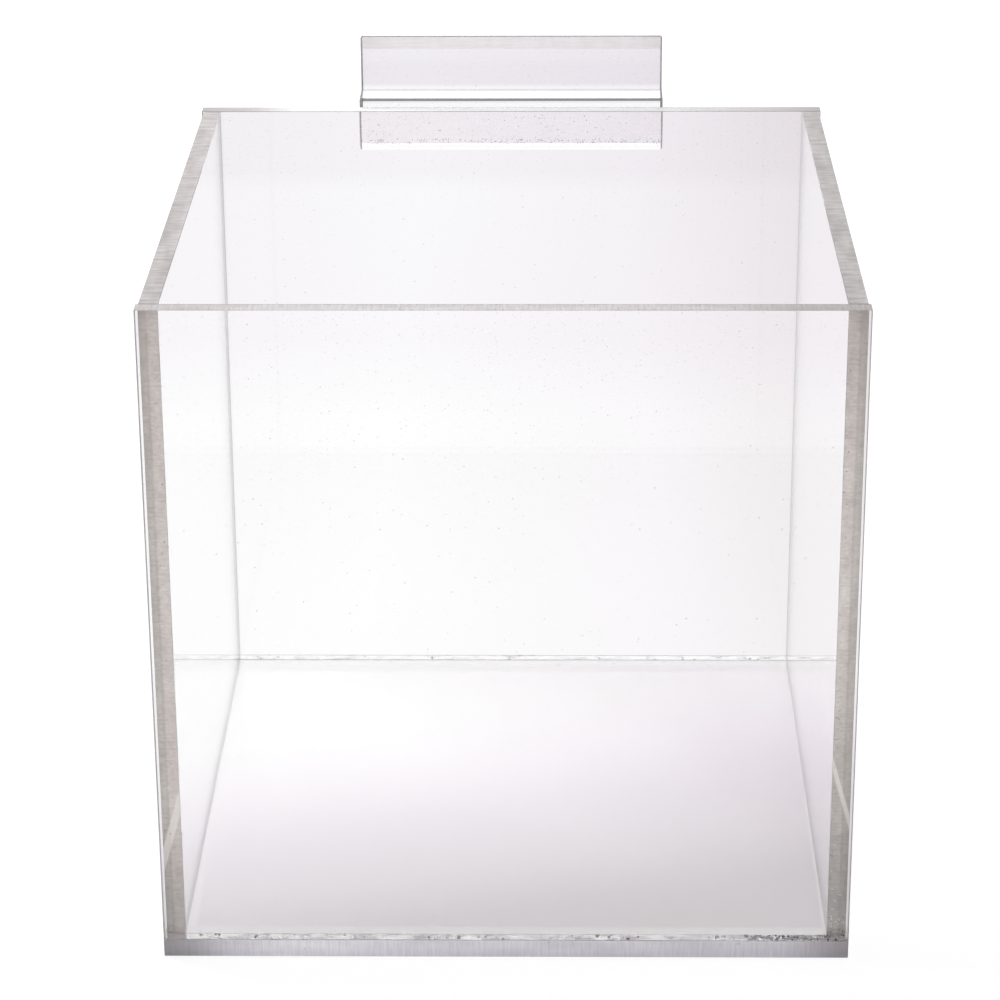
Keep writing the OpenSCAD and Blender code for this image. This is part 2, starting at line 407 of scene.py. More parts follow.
def cured_cement(name, tones, see_through, rough, seed, contrast=0.15, corner=False, ends=()):
    """A film of cement. A small contrast makes its patches sharper. ends dims it along X in mm."""
    material, tree, out = blank_material(name)
    marks, drift = cut_marks(tree, seed)
    place = add(tree, "ShaderNodeTexCoord").outputs["Object"]
    mottle = add(tree, "ShaderNodeTexNoise", {
        "Vector": place, "Scale": 1 / (MOTTLE_MM * MM), "Detail": 5.0, "Roughness": 0.65})
    lying = add(tree, "ShaderNodeMapping", {"Vector": place, "Scale": [1 / (g * MM) for g in GRAIN_MM]})
    grain = add(tree, "ShaderNodeTexNoise", {"Vector": lying.outputs[0], "Scale": 1.0, "Detail": 2.0})
    along = add(tree, "ShaderNodeMix", {0: 0.5, 2: marks, 3: drift}, data_type="FLOAT")
    blend = add(tree, "ShaderNodeMix", {
        0: 0.5, 2: along.outputs[0], 3: mottle.outputs["Fac"]}, data_type="FLOAT")
    blend = add(tree, "ShaderNodeMix", {
        0: GRAIN_SHARE, 2: blend.outputs[0], 3: grain.outputs["Fac"]}, data_type="FLOAT")
    colour = add(tree, "ShaderNodeValToRGB", {"Fac": blend.outputs[0]},
                 list(zip((0.5 - contrast, 0.5, 0.5 + contrast), tones))).outputs["Color"]
    if corner:
        colour = front_corner(tree, colour)
    if ends:
        x = add(tree, "ShaderNodeSeparateXYZ", {"Vector": place}).outputs["X"]
        colour = dimmed(tree, colour, x, ends, MM)
    bump = add(tree, "ShaderNodeBump", {
        "Height": blend.outputs[0], "Strength": FILM_STRENGTH, "Distance": FILM_DEPTH_MM * MM})
    shader = add(tree, "ShaderNodeBsdfPrincipled", {
        "Base Color": colour, "Roughness": rough, "IOR": ACRYLIC_IOR, "Transmission Weight": see_through,
        "Normal": bump.outputs["Normal"]})
    tree.links.new(shader.outputs[0], out.inputs["Surface"])
    return material


print("cement mottled every", MOTTLE_MM, "mm")

# %% [markdown]
# ## The cement of each joint
# - At the front corners it is a warm grey, cooler on the outside. Near the foot a slanting streak stayed
#   dry and is lighter. The foot has painted shade, most on the right, and the head a little.
# - At the back corners less light gets to it, and it is darker.
# - Under the walls it is thinner and patchy, and lets part of the floor's light through.
# - Under the hook strip both faces are polished, so it is nearly clear.

# %% Cement of the joints
# A solid, warm mid grey with a fine grain: the broad strips down both sides of the front.
corner_cement = cured_cement(
    "cured_cement_front_corner", ("#B4ABA8", "#C8C0BD", "#DAD4D1"), 0.0, 0.4, 11.0, 0.12, corner=True)
# Darker and cooler with painted shade, as less light gets there: thin grey lines in the back corners, seen
# through the depth of the bin.
rear_cement = cured_cement("cured_cement_rear_corner", ("#A09A9C", "#B4AEB0", "#CCC7C9"), 0.1, 0.4, 13.0)
# Pale, with sharp grey patches: the floor's light comes through it.
WALL_TONES = ("#D0CCCD", "#F2F0F1", "#FFFFFF")
base_cement = cured_cement("cured_cement_under_wall", WALL_TONES, 0.9, 0.2, 15.0, 0.07)
# The same, with painted shade towards both ends, where the corner strips meet it, most at the right end,
# which is grey.
front_cement = cured_cement("cured_cement_under_front", WALL_TONES, 0.9, 0.2, 15.0, 0.07, ends=[
    (-76, "#F0EAE8"), (-71.4, "#F0EAE8"), (-70.8, "#F4F0EE"), (-66, "#FFFFFF"), (66, "#FFFFFF"),
    (70.8, "#D2CFCE"), (71.4, "#B4AFAD"), (76, "#B4AFAD")])
# Greyer, with painted shade, and darkest on the right: the thin lines along both sides of the bin's floor.
side_cement = cured_cement(
    "cured_cement_under_side", ("#B4B0B1", "#D0CCCD", "#E4E0E1"), 0.6, 0.2, 15.0, 0.07,
    ends=[(-76, "#FFFFFF"), (76, "#8A8788")])
# Hardly there: a faint veil behind the strip's leg.
clear_cement = cured_cement("cured_cement_clear", ("#F3F0F2", "#F7F4F6", "#FAF7F9"), 1.0, 0.03, 17.0)
print("made", [m.name for m in (
    corner_cement, rear_cement, base_cement, front_cement, side_cement, clear_cement)])

# %% [markdown]
# ## Helpers for the pieces
# The sheets, the strip and the films need the UV map in millimetres that the finishes above read. Every
# piece needs its place in the frame: the body that it rides on and the CAD node that it stands for.

# %% Helpers for the pieces
X, Y, Z = 0, 1, 2


def edge_map(bm, across, shift=0.0, middle=0.0):
    """Gives each face a UV map in millimetres: V runs along the across axis from a middle, U the other way.

    A shift gives each piece and each side of a sheet a pattern of its own.
    """
    layer = bm.loops.layers.uv.new("edge_mm")
    for face in bm.faces:
        flat = max(range(3), key=lambda i: abs(face.normal[i]))
        along, other = [i for i in range(3) if i != flat]
        if along == across:
            along, other = other, along
        side = shift * (1 if face.normal[flat] > 0 else 2)
        for loop in face.loops:
            place = loop.vert.co / MM
            place[across] -= middle
            loop[layer].uv = (place[along] + side, place[other])


def finish_piece(name, bm, materials, node):
    """Turns a bmesh into a piece that rides on the root body and stands for its CAD node."""
    mesh = bpy.data.meshes.new(name)
    bm.to_mesh(mesh)
    bm.free()
    for material in materials:
        mesh.materials.append(material)
    piece = bpy.data.objects.new(name, mesh)
    bpy.context.scene.collection.objects.link(piece)
    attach(piece, "root")
    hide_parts(node)
    return piece


print("piece helpers ready")

# %% [markdown]
# ## The five sheets
# Each sheet is a block with its sharp corners scraped off by less than a tenth of a millimetre, which gives
# the thin bright line that a real cut edge shows. Its size and place come from the CAD node that it stands
# for. Each face then gets its finish by the way it looks: across the thickness it is polished, at a joint
# it is cemented, and any other edge is a saw cut. A plain block needs no rule, so it is made and bevelled
# directly.

# %% Build the sheets
BROAD, LONG, SHORT, JOINED = range(4)
SCRAPE_MM = 0.07
SQUARE_ON = 0.999


def sheet(name, node, across, cemented, long_edge, shift, joined_edge=wetted_edge, short_edge=cut_edge,
          broad_face=cast_face):
    """A sheet in a node's place. across is the axis of its thickness.

    cemented lists the axis and the side of each edge that is joined.
    """
    low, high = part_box(node)
    bm = bmesh.new()
    bmesh.ops.create_cube(bm, size=1.0)
    for vert in bm.verts:
        vert.co = Vector([(low[i] + high[i]) / 2 + vert.co[i] * (high[i] - low[i]) for i in range(3)])
    bmesh.ops.bevel(bm, geom=bm.edges[:], offset=SCRAPE_MM * MM, segments=2, profile=0.5, affect="EDGES")
    bm.normal_update()
    for face in bm.faces:
        flat = max(range(3), key=lambda i: abs(face.normal[i]))
        if abs(face.normal[flat]) < SQUARE_ON or flat == across:
            face.material_index = BROAD
        elif (flat, 1 if face.normal[flat] > 0 else -1) in cemented:
            face.material_index = JOINED
        else:
            face.material_index = SHORT if flat == X else LONG
    edge_map(bm, across, shift, (low[across] + high[across]) / 2 / MM)
    return finish_piece(name, bm, [broad_face, long_edge, short_edge, joined_edge], node)


sheets = [
    sheet("base_sheet", "base_panel", Z, [], base_edge, 211.0, broad_face=worn_face),
    sheet("front_sheet", "front_panel", Y, [(Z, -1)], front_edge, 433.0, front_foot, front_end),
    sheet("back_sheet", "back_panel", Y, [(Z, -1)], rear_edge, 677.0, rear_foot),
    sheet("left_side_sheet", "left_side_panel", X, [(Z, -1), (Y, -1), (Y, 1)], side_edge, 853.0),
    sheet("right_side_sheet", "right_side_panel", X, [(Z, -1), (Y, -1), (Y, 1)], side_edge, 1091.0),
]
for piece in sheets:
    print(piece.name, [round(v / MM, 1) for v in piece.dimensions], "mm", len(piece.data.polygons), "faces")

# %% [markdown]
# ## Shapes that follow a rule
# Three kinds of piece follow a rule. The hook strip is one section drawn out straight, a cement film is a
# ribbon whose edges wander, and the air in a joint is many copies of one ball. Each rule is a Geometry
# Nodes tree with named inputs. These helpers open such a tree, close it with Realize Instances and Set
# Material, and run it once on a guide mesh, which leaves a plain mesh and no modifier.

# %% Helpers for the trees
def open_tree(name, inputs):
    """A new shape tree with named inputs, and the outputs of its input node."""
    tree = bpy.data.node_groups.new(name, "GeometryNodeTree")
    for label, kind in inputs.items():
        tree.interface.new_socket(label, in_out="INPUT", socket_type="NodeSocket" + kind)
    tree.interface.new_socket("Shape", in_out="OUTPUT", socket_type="NodeSocketGeometry")
    return tree, add(tree, "NodeGroupInput").outputs


def close_tree(tree, shape, material):
    """Ends a shape tree: copies become real, and all of it gets the material."""
    real = add(tree, "GeometryNodeRealizeInstances", {"Geometry": shape})
    painted = add(tree, "GeometryNodeSetMaterial", {
        "Geometry": real.outputs["Geometry"], "Material": material})
    add(tree, "NodeGroupOutput", {"Shape": painted.outputs["Geometry"]})


def run_tree(tree, guide, values):
    """Runs a shape tree on a guide mesh. The result is a bmesh with one material."""
    holder = bpy.data.objects.new(tree.name, guide)
    bpy.context.scene.collection.objects.link(holder)
    modifier = holder.modifiers.new(tree.name, "NODES")
    modifier.node_group = tree
    sockets = {item.name: item.identifier for item in tree.interface.items_tree if item.in_out == "INPUT"}
    for label, value in values.items():
        modifier[sockets[label]] = value
    mesh = bpy.data.meshes.new_from_object(holder.evaluated_get(bpy.context.evaluated_depsgraph_get()))
    holder.modifiers.remove(modifier)
    bpy.data.objects.remove(holder)
    bm = bmesh.new()
    bm.from_mesh(mesh)
    for face in bm.faces:
        face.material_index = 0
    bpy.data.meshes.remove(mesh)
    bpy.data.meshes.remove(guide)
    return bm


print("tree helpers ready")

# %% [markdown]
# ## The hook strip's shape
# The strip is an extrusion: molten acrylic is pressed through a die with an S-shaped hole, drawn out
# straight and cut to length. The leg is cemented to the back panel, the web passes over the slat's lower
# lip and the tongue goes up behind the upper lip. The tree does what the die does: it takes the ten corners
# of the section, each with its own radius, rounds them into true arcs and draws the outline along a line.
# True arcs matter, because light that runs inside the strip leaves them as one clean dark line. The
# section's sizes repeat those of the CAD source.

# %% Draw out the hook strip
STRIP_T, LIP_GAP, TONGUE_H, LEG_H = 3.0, 6.8, 13.1, 13.2
BEND_R, ROOT_R, TIP_BEVEL_H, FOOT_BEVEL_H, EDGE_T = 1.0, 1.2, 3.6, 2.1, 1.2
ARC_POINTS = 12

tongue_y, tip_z, web_z = STRIP_T + LIP_GAP, LEG_H + TONGUE_H, LEG_H - STRIP_T
section = [
    (STRIP_T - EDGE_T, 0, 0), (STRIP_T, 0, 0), (STRIP_T, web_z, ROOT_R), (tongue_y + STRIP_T, web_z, BEND_R),
    (tongue_y + STRIP_T, tip_z - TIP_BEVEL_H, 0), (tongue_y + EDGE_T, tip_z, 0), (tongue_y, tip_z, 0),
    (tongue_y, LEG_H, ROOT_R), (0, LEG_H, BEND_R), (0, FOOT_BEVEL_H, 0),
]
corners = len(section)
loop = [(i, (i + 1) % corners) for i in range(corners)]
die = bpy.data.meshes.new("strip_section")
die.from_pydata([(y * MM, z * MM, 0) for y, z, _ in section], loop, [])
radii = die.attributes.new("corner_r", "FLOAT", "POINT")
radii.data.foreach_set("value", [r * MM for _, _, r in section])

strip_tree, given = open_tree("drawn_strip", {
    "Section": "Geometry", "Start": "Vector", "End": "Vector", "Arc Points": "Int", "Material": "Material"})
radius = add(strip_tree, "GeometryNodeInputNamedAttribute", {"Name": "corner_r"}, data_type="FLOAT")
outline = add(strip_tree, "GeometryNodeMeshToCurve", {"Mesh": given["Section"]})
rounded = add(strip_tree, "GeometryNodeFilletCurve", {
    "Curve": outline.outputs["Curve"], "Count": given["Arc Points"], "Radius": radius.outputs["Attribute"]},
    mode="POLY")
line = add(strip_tree, "GeometryNodeCurvePrimitiveLine", {"Start": given["Start"], "End": given["End"]})
upright = add(strip_tree, "GeometryNodeSetCurveTilt", {"Curve": line.outputs["Curve"], "Tilt": math.pi})
drawn = add(strip_tree, "GeometryNodeCurveToMesh", {
    "Curve": upright.outputs["Curve"], "Profile Curve": rounded.outputs["Curve"], "Fill Caps": True})
close_tree(strip_tree, drawn.outputs["Mesh"], given["Material"])

# Glossy from the die and as clear as the sheets, with slightly darker specks.
extruded_face = polished_acrylic("extruded_acrylic_glossy_face", "#FFFFFF", "#CBC7C8")
strip_low, strip_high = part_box("slatwall_cleat")
strip_bm = run_tree(strip_tree, die, {
    "Start": (strip_low.x, strip_low.y, strip_low.z), "End": (strip_high.x, strip_low.y, strip_low.z),
    "Arc Points": ARC_POINTS, "Material": extruded_face})
volume = round(strip_bm.calc_volume() / MM ** 3)
print("strip of", len(strip_bm.verts) // 2, "points round, volume", volume, "mm3")

# %% [markdown]
# ## The hook strip's finish
# The two ends are cut and then scraped, which draws a thin dark line down each end. The tip's bevel is
# milled and stays frosted. The tongue is the part that slides into a groove, and it is a touch greyer with
# painted shade.
# Each face gets its finish by the way it looks and by its place in the section.

# %% Finish the hook strip
END_SCRAPE_MM = 0.35
CLEAR, TONGUE_SHADE, CUT, MILLED = range(4)
SMOOTH_TURN = math.radians(30)

# Painted shade: a touch greyer than the leg, with a faint violet tint.
tongue_painted_shade = polished_acrylic("extruded_acrylic_rubbed_face", "#F6F4F7", "#D2CFD0")
# Dull and dark, with painted shade: one looks along the whole length of the strip.
cut_end = saw_cut("extruded_acrylic_cut_end", ("#7C7A79", "#8E8C8B", "#A3A1A0"), 0.2, 7.0)
# Pale and milky: frosted, but thin enough to let the light through.
milled_tip = saw_cut("extruded_acrylic_milled_tip", ("#E6E1DE", "#F0ECE9", "#FAF7F5"), 0.9, 8.0)

end_edges = {edge for face in strip_bm.faces if abs(face.normal.x) > 0.9 for edge in face.edges}
bmesh.ops.bevel(strip_bm, geom=list(end_edges), offset=END_SCRAPE_MM * MM, segments=1, affect="EDGES")
strip_bm.normal_update()
tongue_from = Vector((0, strip_low.y + (tongue_y - 0.1) * MM, strip_low.z + LEG_H * MM))
for face in strip_bm.faces:
    middle = face.calc_center_median()
    if abs(face.normal.x) > 0.5 or middle.z > strip_high.z - 0.01 * MM:
        face.material_index = CUT
    elif face.normal.y > 0.8 and face.normal.z > 0.3:
        face.material_index = MILLED
    else:
        face.material_index = TONGUE_SHADE if middle.y > tongue_from.y and middle.z > tongue_from.z else CLEAR
    face.smooth = True
edge_map(strip_bm, X, 1301.0)
strip = finish_piece("hook_strip", strip_bm, [extruded_face, tongue_painted_shade, cut_end, milled_tip],
                     "slatwall_cleat")
strip.data.set_sharp_from_angle(angle=SMOOTH_TURN)
print(strip.name, [round(v / MM, 1) for v in strip.dimensions], "mm", len(strip.data.polygons), "faces")

# %% [markdown]
# ## Cement films
# The cement is thin as water and runs into the joint from a needle. Each joint holds a film about as thick
# as a hair. Its outline isn't straight: it stops a little short of the corner here and there. The tree
# makes a flat block with a station every millimetre or so along the joint, and a noise draws its two long
# edges in. The film stands off both sheets by a few hundredths of a millimetre, because two faces in one
# place would flicker.

# %% Run the cement into the joints
STAND_OFF_MM = 0.02
DRAW_IN_MM, WANDER_MM = 0.1, 7.7
STATION_MM = 1.2

film_tree, given = open_tree("cement_film", {
    "Guide": "Geometry", "Size": "Vector", "Middle": "Vector", "Stations X": "Int", "Stations Y": "Int",
    "Stations Z": "Int", "Drawn In": "Vector", "Wander": "Float", "Seed": "Float", "Material": "Material"})
block = add(film_tree, "GeometryNodeMeshCube", {
    "Size": given["Size"], "Vertices X": given["Stations X"], "Vertices Y": given["Stations Y"],
    "Vertices Z": given["Stations Z"]})
place = add(film_tree, "GeometryNodeInputPosition").outputs["Position"]
pitch = add(film_tree, "ShaderNodeMath", {0: 1.0, 1: given["Wander"]}, operation="DIVIDE").outputs[0]
wander = add(film_tree, "ShaderNodeTexNoise", {
    "Vector": place, "W": given["Seed"], "Scale": pitch, "Detail": 0.0}, noise_dimensions="4D")
inward = add(film_tree, "ShaderNodeMath", {
    0: wander.outputs["Fac"], 1: -1.0}, operation="MULTIPLY").outputs[0]
outside = add(film_tree, "ShaderNodeVectorMath", {0: place}, operation="SIGN").outputs["Vector"]
most = add(film_tree, "ShaderNodeVectorMath", {
    0: outside, 1: given["Drawn In"]}, operation="MULTIPLY").outputs["Vector"]
pull = add(film_tree, "ShaderNodeVectorMath", {0: most, "Scale": inward}, operation="SCALE").outputs["Vector"]
drawn_in = add(film_tree, "GeometryNodeSetPosition", {"Geometry": block.outputs["Mesh"], "Offset": pull})
placed = add(film_tree, "GeometryNodeTransform", {
    "Geometry": drawn_in.outputs["Geometry"], "Translation": given["Middle"]})
close_tree(film_tree, placed.outputs["Geometry"], given["Material"])


def cement_film(node, thin, along, wide, material, seed):
    """The film of one joint. thin, along and wide are the axes of its thickness, length and width."""
    low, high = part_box(node)
    size, stations, drawn = high - low, [2, 2, 2], [0.0, 0.0, 0.0]
    size[thin] -= 2 * STAND_OFF_MM * MM
    stations[along] = round(size[along] / (STATION_MM * MM)) + 1
    drawn[wide] = DRAW_IN_MM * MM
    bm = run_tree(film_tree, bpy.data.meshes.new("no_guide"), {
        "Size": size, "Middle": (low + high) / 2, "Stations X": stations[X], "Stations Y": stations[Y],
        "Stations Z": stations[Z], "Drawn In": drawn, "Wander": WANDER_MM * MM, "Seed": seed,
        "Material": material})
    bm.normal_update()
    edge_map(bm, wide)
    return finish_piece(node.replace("cement_", "cement_film_"), bm, [material], node)


films = [
    cement_film("cement_front_base", Z, X, Y, front_cement, 1.0),
    cement_film("cement_back_base", Z, X, Y, base_cement, 2.0),
    cement_film("cement_left_base", Z, Y, X, side_cement, 3.0),
    cement_film("cement_right_base", Z, Y, X, side_cement, 4.0),
    cement_film("cement_left_front", Y, Z, X, corner_cement, 5.0),
    cement_film("cement_right_front", Y, Z, X, corner_cement, 6.0),
    cement_film("cement_left_back", Y, Z, X, rear_cement, 7.0),
    cement_film("cement_right_back", Y, Z, X, rear_cement, 8.0),
    cement_film("cement_cleat_back", Y, X, Z, clear_cement, 9.0),
]
print(len(films), "films,", sum(len(film.data.polygons) for film in films), "faces")

# %% [markdown]
# ## Air in the cement
# Air that can't get out of a joint stays in it as flat bubbles. There is a dense patch of them at the right
# end of the front joint, a row along the lower edge of the hook strip, and single ones in the other joints.
# The tree strews them: guide faces say where, each with its own number per square centimetre, and points on
# them carry copies of one small ball, pressed flat and of random size. A bubble in plastic mirrors light at
# its whole surface, so some look dark and some bright, and each copy keeps a random tone for that, a
# painted reflection.

# %% Trapped air
BUBBLE_FLATNESS = 0.75
BALL_SEGMENTS, BALL_RINGS = 8, 5

air_tree, given = open_tree("trapped_air", {
    "Guide": "Geometry", "Smallest": "Float", "Largest": "Float", "Flatness": "Float", "Seed": "Int",
    "Material": "Material"})
number = add(air_tree, "GeometryNodeInputNamedAttribute", {"Name": "per_m2"}, data_type="FLOAT")
points = add(air_tree, "GeometryNodeDistributePointsOnFaces", {
    "Mesh": given["Guide"], "Density": number.outputs["Attribute"], "Seed": given["Seed"]},
    distribute_method="RANDOM")
tone = add(air_tree, "FunctionNodeRandomValue", {
    2: 0.0, 3: 1.0, "Seed": given["Seed"]}, data_type="FLOAT").outputs[1]
toned = add(air_tree, "GeometryNodeStoreNamedAttribute", {
    "Geometry": points.outputs["Points"], "Name": "tone", "Value": tone}, data_type="FLOAT", domain="POINT")
size = add(air_tree, "FunctionNodeRandomValue", {
    2: given["Smallest"], 3: given["Largest"], "Seed": given["Seed"]}, data_type="FLOAT").outputs[1]
flat = add(air_tree, "ShaderNodeMath", {0: size, 1: given["Flatness"]}, operation="MULTIPLY").outputs[0]
scale = add(air_tree, "ShaderNodeCombineXYZ", {"X": size, "Y": size, "Z": flat})
ball = add(air_tree, "GeometryNodeMeshUVSphere", {
    "Segments": BALL_SEGMENTS, "Rings": BALL_RINGS, "Radius": 1.0})
copies = add(air_tree, "GeometryNodeInstanceOnPoints", {
    "Points": toned.outputs["Geometry"], "Instance": ball.outputs["Mesh"],
    "Rotation": points.outputs["Rotation"], "Scale": scale.outputs[0]})
close_tree(air_tree, copies.outputs["Instances"], given["Material"])

# Small bright and dark beads: their tones are painted reflections of other parts of the room, on top of a
# partly metallic mirror.
air_wall, tree, out = blank_material("air_bubble_in_cement")
tone = add(tree, "ShaderNodeAttribute", attribute_name="tone").outputs["Fac"]
colour = add(tree, "ShaderNodeValToRGB", {"Fac": tone}, [
    (0.0, "#4A4746"), (0.5, "#7A7675"), (0.55, "#F2F0F0"), (1.0, "#FFFFFF")]).outputs["Color"]
shader = add(tree, "ShaderNodeBsdfPrincipled", {"Base Color": colour, "Roughness": 0.2, "Metallic": 0.6})
tree.links.new(shader.outputs[0], out.inputs["Surface"])
print("made", air_tree.name, air_wall.name)

# %% [markdown]
# ## Where the air is
# Each patch is a rectangle on a joint, given by its low corner, its high corner and the number of bubbles
# per square centimetre. A patch keeps clear of the joint's border by more than a bubble's radius, so that
# none sticks out.

# %% Strew the air
CM2_IN_M2 = 10000


def trapped_air(node, thin, upper, patches, smallest_mm, largest_mm, seed):
    """Bubbles in one film, on its upper or lower face along the thin axis. Patches are in mm."""
    low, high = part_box(node)
    level = high[thin] - STAND_OFF_MM * MM if upper else low[thin] + STAND_OFF_MM * MM
    one, other = [i for i in range(3) if i != thin]
    bm = bmesh.new()
    number = bm.faces.layers.float.new("per_m2")
    for start, stop, per_cm2 in patches:
        corners = []
        for a, b in ((start[0], start[1]), (stop[0], start[1]), (stop[0], stop[1]), (start[0], stop[1])):
            corner = Vector((0, 0, 0))
            corner[one], corner[other], corner[thin] = a * MM, b * MM, level
            corners.append(bm.verts.new(corner))
        bm.faces.new(corners)[number] = per_cm2 * CM2_IN_M2
    guide = bpy.data.meshes.new("air_guide")
    bm.to_mesh(guide)
    bm.free()
    bubbles = run_tree(air_tree, guide, {
        "Smallest": smallest_mm * MM, "Largest": largest_mm * MM, "Flatness": BUBBLE_FLATNESS, "Seed": seed,
        "Material": air_wall})
    return finish_piece(node.replace("cement_", "trapped_air_"), bubbles, [air_wall], node)


air = [
    trapped_air("cement_front_base", Z, True, [
        ((70, -75.7), (75.7, -72.5), 600), ((62, -75.7), (70, -72.5), 330), ((52, -75.7), (62, -72.5), 170),
        ((20, -75.7), (52, -72.5), 14), ((-75, -75.7), (20, -72.5), 6)], 0.1, 0.55, 21),
    trapped_air("cement_back_base", Z, True, [
        ((-75, 72.4), (60, 75.8), 8), ((60, 72.4), (75, 75.8), 22)], 0.1, 0.3, 22),
    trapped_air("cement_left_base", Z, True, [((-75.3, -71), (-71.9, 71), 5)], 0.1, 0.3, 23),
    trapped_air("cement_right_base", Z, True, [((71.9, -71), (75.3, 71), 12)], 0.1, 0.3, 24),
    trapped_air("cement_left_front", Y, False, [((-75.4, 6), (-71.8, 140), 3)], 0.08, 0.22, 25),
    trapped_air("cement_right_front", Y, False, [
        ((71.75, 9), (72.6, 62), 90), ((71.75, 62), (72.6, 140), 20), ((71.75, 4.7), (75.4, 9), 130),
        ((72.6, 9), (75.4, 20), 24)], 0.08, 0.24, 26),
    trapped_air("cement_cleat_back", Y, False, [
        ((-37, 143.6), (37, 144.7), 230), ((-37, 144.7), (37, 151.5), 5), ((-8, 147.5), (30, 151.0), 12)],
        0.06, 0.19, 27),
]
for piece in air:
    print(piece.name, len(piece.data.polygons), "faces")

# %% [markdown]
# ## Shade on the floor
# A clear object is lit through, not at, and most of what one sees through the sheets is the floor. Seen
# through the bin, the floor has the photograph's soft shade painted on it: darkest under the front of the
# bin, a little darker towards the right and the back right corner, and grey again far behind. The walls lead
# light down into the paper, which leaves a slightly paler border of painted light round the painted shade,
# and beside the bin the shade fades out.

# %% Floor shade
FOOTPRINT_MM = 75.0
SHADE_LEFT_MM, SHADE_RIGHT_MM, SHADE_FRONT_MM, SHADE_BACK_MM = -69.9, 70.9, -65.0, 72.0
SHADE_SLANT, SOFT_MM = 0.3, 0.5
BORDER_PALE = 0.25
BESIDE_FULL_MM, BESIDE_END_MM = 80.0, 120.0
LEFT_BESIDE = [(-77, "#EDEBED"), (-75.5, "#FFFFFF")]
BEHIND_FROM_MM, BEHIND_FULL_MM = 65.0, 85.0
# Stops of painted shade towards the back right corner, along X times a lean plus Y
RIGHT_CORNER = [(1.0, [(0, "#FFFFFF"), (80, "#F0ECEF")]), (2.0, [(90, "#FFFFFF"), (165, "#F5F3F5")])]
WHITE = (1, 1, 1, 1)


def within(tree, value, low, high):
    """1 between two places in millimetres and 0 outside, with a soft edge."""
    up, down = [
        add(tree, "ShaderNodeMapRange", {"Value": value, "From Min": outer * MM, "From Max": inner * MM})
        for outer, inner in ((low - SOFT_MM, low), (high + SOFT_MM, high))]
    return add(tree, "ShaderNodeMath", {
        0: up.outputs[0], 1: down.outputs[0]}, operation="MULTIPLY").outputs[0]


def rectangle(tree, x, y, left, right, front, back):
    """1 inside a rectangle on the floor and 0 outside."""
    return add(tree, "ShaderNodeMath", {0: within(tree, x, left, right), 1: within(tree, y, front, back)},
               operation="MULTIPLY").outputs[0]


def floor_shade(tree):
    """The floor's colour as one sees it through the bin, with its painted shade."""
    place = add(tree, "ShaderNodeTexCoord").outputs["Object"]
    xyz = add(tree, "ShaderNodeSeparateXYZ", {"Vector": place})
    x, y = xyz.outputs["X"], xyz.outputs["Y"]
    slant = add(tree, "ShaderNodeMath", {0: x, 1: -SHADE_SLANT, 2: y}, operation="MULTIPLY_ADD").outputs[0]
    under = dimmed(tree, WHITE, slant, [
        (-72, "#BDB6BA"), (-57, "#C2BBC0"), (-34, "#D9D2D8"), (-8, "#E8E1E8"), (19, "#FAF5FB"),
        (45, "#FFFFFF")], MM)
    for lean, stops in RIGHT_CORNER:
        diagonal = add(tree, "ShaderNodeMath", {0: x, 1: lean, 2: y}, operation="MULTIPLY_ADD").outputs[0]
        under = dimmed(tree, under, diagonal, stops, MM)
    under = dimmed(tree, under, x, LEFT_BESIDE, MM)
    footprint = rectangle(tree, x, y, -FOOTPRINT_MM, FOOTPRINT_MM, -FOOTPRINT_MM, FOOTPRINT_MM)
    inner = rectangle(tree, x, y, SHADE_LEFT_MM, SHADE_RIGHT_MM, SHADE_FRONT_MM, SHADE_BACK_MM)
    share = add(tree, "ShaderNodeMix", {0: BORDER_PALE, 2: footprint, 3: inner}, data_type="FLOAT").outputs[0]
    reach = add(tree, "ShaderNodeMath", {0: x}, operation="ABSOLUTE").outputs[0]
    beside = add(tree, "ShaderNodeMapRange", {
        "Value": reach, "From Min": BESIDE_END_MM * MM, "From Max": BESIDE_FULL_MM * MM,
        "To Max": 1 - BORDER_PALE}).outputs[0]
    beside = add(tree, "ShaderNodeMath", {0: beside, 1: within(tree, y, -FOOTPRINT_MM, FOOTPRINT_MM)},
                 operation="MULTIPLY").outputs[0]
    share = add(tree, "ShaderNodeMath", {0: share, 1: beside}, operation="MAXIMUM").outputs[0]
    near = add(tree, "ShaderNodeMix", {0: share, 6: WHITE, 7: under}, data_type="RGBA").outputs[2]
    far = dimmed(tree, WHITE, y, [
        (260, "#FFFFFF"), (335, "#F9F7FA"), (500, "#F9F8FA"), (525, "#F5F3F6"), (620, "#F5F3F6")], MM)
    far = dimmed(tree, far, x, [(-110, "#FCFBFC"), (-40, "#FFFFFF"), (40, "#FAF8FA"), (115, "#EBE6E8")], MM)
    past_back = add(tree, "ShaderNodeMapRange", {
        "Value": y, "From Min": BEHIND_FROM_MM * MM, "From Max": BEHIND_FULL_MM * MM}).outputs[0]
    return add(tree, "ShaderNodeMix", {0: past_back, 6: near, 7: far}, data_type="RGBA").outputs[2]


print("shade from", SHADE_LEFT_MM, "to", SHADE_RIGHT_MM, "mm across")

# %% [markdown]
# ## Floor
# The floor is a sheet of white paper. Seen directly, most of its white is its own, and a small part is lit
# by the lamps, so that the bin keeps a soft shadow. Far from the bin it is all white. Seen through the bin
# it has the painted shade above. For every other ray, the light that falls on the bin, it is plain white
# paper.

# %% Floor
FLOOR_RADIUS = 4.0
FLOOR_DROP_MM = 0.3
# Seen directly: the floor's own share of white near the bin, and how white the paper is for the lamps
DIRECT_GLOW, DIRECT_PAPER = 0.8, 0.3
# Metres from the bin's middle over which its own share grows to all
GLOW_FROM, GLOW_FULL = 0.25, 0.8


def through_bin(tree, path):
    """1 for a ray that has passed through the bin or off it."""
    return add(tree, "ShaderNodeMath", {0: path["Is Glossy Ray"], 1: path["Is Transmission Ray"]},
               operation="MAXIMUM").outputs[0]
